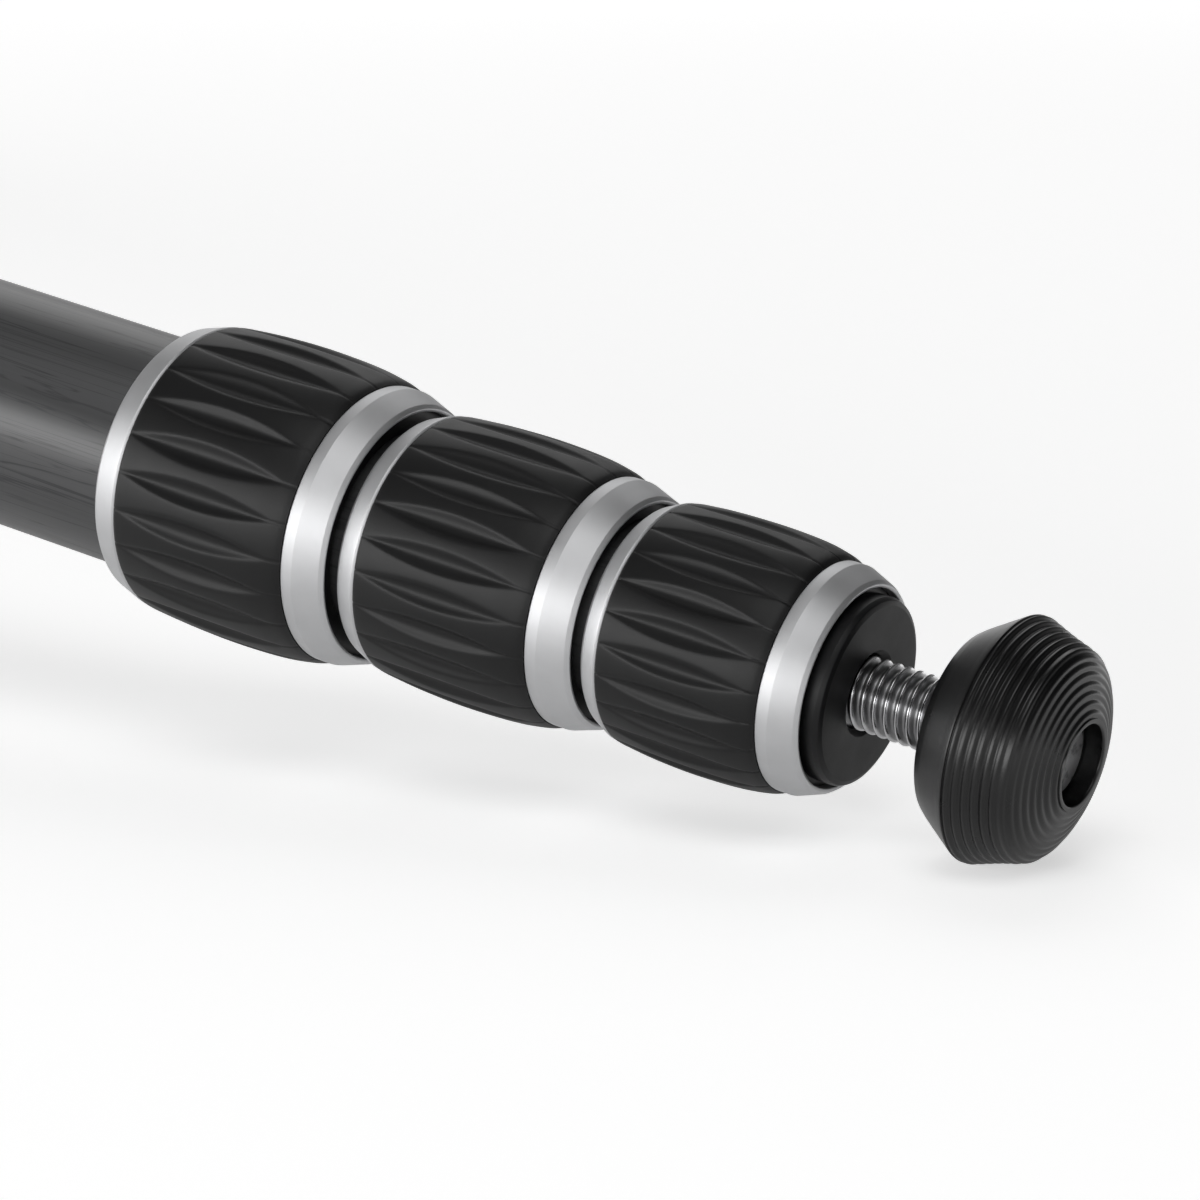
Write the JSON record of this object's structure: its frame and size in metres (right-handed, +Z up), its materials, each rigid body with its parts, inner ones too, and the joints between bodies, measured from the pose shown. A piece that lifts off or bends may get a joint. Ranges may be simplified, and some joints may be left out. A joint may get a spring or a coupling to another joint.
{
  "type": "travel tripod",
  "caption": "Low-standing travel tripod with carbon twist-lock legs, short centre column, head plate and screw-in rubber feet.",
  "frame": {"origin": "centre of the head stud at the face of the head plate", "axes": "+Z up along the head stud and the column, +X out along leg 1 as seen from above"},
  "size_m": [0.7102, 0.8158, 0.1468],
  "materials": {
    "carbon_tube": "satin",
    "anodised_aluminium": "satin",
    "cast_metal": "matt",
    "grip_rubber": "matt",
    "foot_rubber": "matt",
    "black_anodised": "matt",
    "black_plastic": "matt",
    "polished_steel": "polished",
    "level_vial": "glossy"
  },
  "bodies": {
    "apex": {"apex_casting": "cast_metal", "pivot_bolts": "polished_steel", "bubble_level": "level_vial", "column_collet": "black_plastic"},
    "column_lock": {"column_nut": "anodised_aluminium", "column_grip": "grip_rubber"},
    "column": {"column_tube": "carbon_tube", "head_plate": "anodised_aluminium", "plate_pad": "grip_rubber", "head_stud": "polished_steel", "plate_screws": "polished_steel", "hook_cap": "black_anodised"},
    "hook_swivel": {"hook": "polished_steel"},
    "leg_1": {"leg_1_knuckle": "cast_metal", "leg_1_tube_1": "carbon_tube"},
    "leg_1_tab": {"leg_1_angle_tab": "black_anodised"},
    "leg_1_lock_1": {"leg_1_nut_1": "anodised_aluminium", "leg_1_grip_1": "grip_rubber"},
    "leg_1_lock_2": {"leg_1_nut_2": "anodised_aluminium", "leg_1_grip_2": "grip_rubber"},
    "leg_1_lock_3": {"leg_1_nut_3": "anodised_aluminium", "leg_1_grip_3": "grip_rubber"},
    "leg_1_section_2": {"leg_1_tube_2": "carbon_tube"},
    "leg_1_section_3": {"leg_1_tube_3": "carbon_tube"},
    "leg_1_section_4": {"leg_1_tube_4": "carbon_tube", "leg_1_end_plug": "black_anodised"},
    "leg_1_stud": {"leg_1_foot_stud": "polished_steel"},
    "leg_1_foot_body": {"leg_1_foot": "foot_rubber"},
    "leg_2": {"leg_2_knuckle": "cast_metal", "leg_2_tube_1": "carbon_tube"},
    "leg_2_tab": {"leg_2_angle_tab": "black_anodised"},
    "leg_2_lock_1": {"leg_2_nut_1": "anodised_aluminium", "leg_2_grip_1": "grip_rubber"},
    "leg_2_lock_2": {"leg_2_nut_2": "anodised_aluminium", "leg_2_grip_2": "grip_rubber"},
    "leg_2_lock_3": {"leg_2_nut_3": "anodised_aluminium", "leg_2_grip_3": "grip_rubber"},
    "leg_2_section_2": {"leg_2_tube_2": "carbon_tube"},
    "leg_2_section_3": {"leg_2_tube_3": "carbon_tube"},
    "leg_2_section_4": {"leg_2_tube_4": "carbon_tube", "leg_2_end_plug": "black_anodised"},
    "leg_2_stud": {"leg_2_foot_stud": "polished_steel"},
    "leg_2_foot_body": {"leg_2_foot": "foot_rubber"},
    "leg_3": {"leg_3_knuckle": "cast_metal", "leg_3_tube_1": "carbon_tube"},
    "leg_3_tab": {"leg_3_angle_tab": "black_anodised"},
    "leg_3_lock_1": {"leg_3_nut_1": "anodised_aluminium", "leg_3_grip_1": "grip_rubber"},
    "leg_3_lock_2": {"leg_3_nut_2": "anodised_aluminium", "leg_3_grip_2": "grip_rubber"},
    "leg_3_lock_3": {"leg_3_nut_3": "anodised_aluminium", "leg_3_grip_3": "grip_rubber"},
    "leg_3_section_2": {"leg_3_tube_2": "carbon_tube"},
    "leg_3_section_3": {"leg_3_tube_3": "carbon_tube"},
    "leg_3_section_4": {"leg_3_tube_4": "carbon_tube", "leg_3_end_plug": "black_anodised"},
    "leg_3_stud": {"leg_3_foot_stud": "polished_steel"},
    "leg_3_foot_body": {"leg_3_foot": "foot_rubber"}
  },
  "joints": [
    {"name": "column_lift", "type": "slide", "parent": "apex", "child": "column", "axis": [0, 0, 1], "range_m": [0, 0.036]},
    {"name": "column_lock_turn", "type": "hinge", "parent": "apex", "child": "column_lock", "pos_m": [0, 0, 0], "axis": [0, 0, 1], "range_deg": [-30, 90]},
    {"name": "hook_turn", "type": "hinge", "parent": "column", "child": "hook_swivel", "pos_m": [0, 0, 0], "axis": [0, 0, 1], "continuous": true},
    {"name": "leg_1_spread", "type": "hinge", "parent": "apex", "child": "leg_1", "pos_m": [0.045, 0, -0.05], "axis": [0, -1, 0], "range_deg": [-80, 100]},
    {"name": "leg_1_tab_slide", "type": "slide", "parent": "leg_1", "child": "leg_1_tab", "axis": [0.9848, 0, -0.1736], "range_m": [-0.003, 0]},
    {"name": "leg_1_lock_1_turn", "type": "hinge", "parent": "leg_1", "child": "leg_1_lock_1", "pos_m": [0.045, 0, -0.05], "axis": [0.9848, 0, -0.1736], "range_deg": [-30, 90]},
    {"name": "leg_1_lock_2_turn", "type": "hinge", "parent": "leg_1_section_2", "child": "leg_1_lock_2", "pos_m": [0.045, 0, -0.05], "axis": [0.9848, 0, -0.1736], "range_deg": [-30, 90]},
    {"name": "leg_1_lock_3_turn", "type": "hinge", "parent": "leg_1_section_3", "child": "leg_1_lock_3", "pos_m": [0.045, 0, -0.05], "axis": [0.9848, 0, -0.1736], "range_deg": [-30, 90]},
    {"name": "leg_1_section_2_slide", "type": "slide", "parent": "leg_1", "child": "leg_1_section_2", "axis": [0.9848, 0, -0.1736], "range_m": [0, 0.225]},
    {"name": "leg_1_section_3_slide", "type": "slide", "parent": "leg_1_section_2", "child": "leg_1_section_3", "axis": [0.9848, 0, -0.1736], "range_m": [0, 0.255]},
    {"name": "leg_1_section_4_slide", "type": "slide", "parent": "leg_1_section_3", "child": "leg_1_section_4", "axis": [0.9848, 0, -0.1736], "range_m": [0, 0.285]},
    {"name": "leg_1_foot_turn", "type": "hinge", "parent": "leg_1_stud", "child": "leg_1_foot_body", "pos_m": [0.045, 0, -0.05], "axis": [0.9848, 0, -0.1736], "range_deg": [0, 2520]},
    {"name": "leg_1_foot_advance", "type": "slide", "parent": "leg_1_section_4", "child": "leg_1_stud", "axis": [0.9848, 0, -0.1736], "range_m": [-0.0112, 0]},
    {"name": "leg_2_spread", "type": "hinge", "parent": "apex", "child": "leg_2", "pos_m": [-0.0225, 0.03897, -0.05], "axis": [0.866, 0.5, 0], "range_deg": [-80, 100]},
    {"name": "leg_2_tab_slide", "type": "slide", "parent": "leg_2", "child": "leg_2_tab", "axis": [-0.4924, 0.8529, -0.1736], "range_m": [-0.003, 0]},
    {"name": "leg_2_lock_1_turn", "type": "hinge", "parent": "leg_2", "child": "leg_2_lock_1", "pos_m": [-0.0225, 0.03897, -0.05], "axis": [-0.4924, 0.8529, -0.1736], "range_deg": [-30, 90]},
    {"name": "leg_2_lock_2_turn", "type": "hinge", "parent": "leg_2_section_2", "child": "leg_2_lock_2", "pos_m": [-0.0225, 0.03897, -0.05], "axis": [-0.4924, 0.8529, -0.1736], "range_deg": [-30, 90]},
    {"name": "leg_2_lock_3_turn", "type": "hinge", "parent": "leg_2_section_3", "child": "leg_2_lock_3", "pos_m": [-0.0225, 0.03897, -0.05], "axis": [-0.4924, 0.8529, -0.1736], "range_deg": [-30, 90]},
    {"name": "leg_2_section_2_slide", "type": "slide", "parent": "leg_2", "child": "leg_2_section_2", "axis": [-0.4924, 0.8529, -0.1736], "range_m": [0, 0.225]},
    {"name": "leg_2_section_3_slide", "type": "slide", "parent": "leg_2_section_2", "child": "leg_2_section_3", "axis": [-0.4924, 0.8529, -0.1736], "range_m": [0, 0.255]},
    {"name": "leg_2_section_4_slide", "type": "slide", "parent": "leg_2_section_3", "child": "leg_2_section_4", "axis": [-0.4924, 0.8529, -0.1736], "range_m": [0, 0.285]},
    {"name": "leg_2_foot_turn", "type": "hinge", "parent": "leg_2_stud", "child": "leg_2_foot_body", "pos_m": [-0.0225, 0.03897, -0.05], "axis": [-0.4924, 0.8529, -0.1736], "range_deg": [0, 2520]},
    {"name": "leg_2_foot_advance", "type": "slide", "parent": "leg_2_section_4", "child": "leg_2_stud", "axis": [-0.4924, 0.8529, -0.1736], "range_m": [-0.0112, 0]},
    {"name": "leg_3_spread", "type": "hinge", "parent": "apex", "child": "leg_3", "pos_m": [-0.0225, -0.03897, -0.05], "axis": [-0.866, 0.5, 0], "range_deg": [-80, 100]},
    {"name": "leg_3_tab_slide", "type": "slide", "parent": "leg_3", "child": "leg_3_tab", "axis": [-0.4924, -0.8529, -0.1736], "range_m": [-0.003, 0]},
    {"name": "leg_3_lock_1_turn", "type": "hinge", "parent": "leg_3", "child": "leg_3_lock_1", "pos_m": [-0.0225, -0.03897, -0.05], "axis": [-0.4924, -0.8529, -0.1736], "range_deg": [-30, 90]},
    {"name": "leg_3_lock_2_turn", "type": "hinge", "parent": "leg_3_section_2", "child": "leg_3_lock_2", "pos_m": [-0.0225, -0.03897, -0.05], "axis": [-0.4924, -0.8529, -0.1736], "range_deg": [-30, 90]},
    {"name": "leg_3_lock_3_turn", "type": "hinge", "parent": "leg_3_section_3", "child": "leg_3_lock_3", "pos_m": [-0.0225, -0.03897, -0.05], "axis": [-0.4924, -0.8529, -0.1736], "range_deg": [-30, 90]},
    {"name": "leg_3_section_2_slide", "type": "slide", "parent": "leg_3", "child": "leg_3_section_2", "axis": [-0.4924, -0.8529, -0.1736], "range_m": [0, 0.225]},
    {"name": "leg_3_section_3_slide", "type": "slide", "parent": "leg_3_section_2", "child": "leg_3_section_3", "axis": [-0.4924, -0.8529, -0.1736], "range_m": [0, 0.255]},
    {"name": "leg_3_section_4_slide", "type": "slide", "parent": "leg_3_section_3", "child": "leg_3_section_4", "axis": [-0.4924, -0.8529, -0.1736], "range_m": [0, 0.285]},
    {"name": "leg_3_foot_turn", "type": "hinge", "parent": "leg_3_stud", "child": "leg_3_foot_body", "pos_m": [-0.0225, -0.03897, -0.05], "axis": [-0.4924, -0.8529, -0.1736], "range_deg": [0, 2520]},
    {"name": "leg_3_foot_advance", "type": "slide", "parent": "leg_3_section_4", "child": "leg_3_stud", "axis": [-0.4924, -0.8529, -0.1736], "range_m": [-0.0112, 0]}
  ],
  "couplings": [
    {"joint": "leg_1_foot_advance", "follows": "leg_1_foot_turn", "m_per_rad": -0.00025266},
    {"joint": "leg_2_foot_advance", "follows": "leg_2_foot_turn", "m_per_rad": -0.00025266},
    {"joint": "leg_3_foot_advance", "follows": "leg_3_foot_turn", "m_per_rad": -0.00025266}
  ]
}
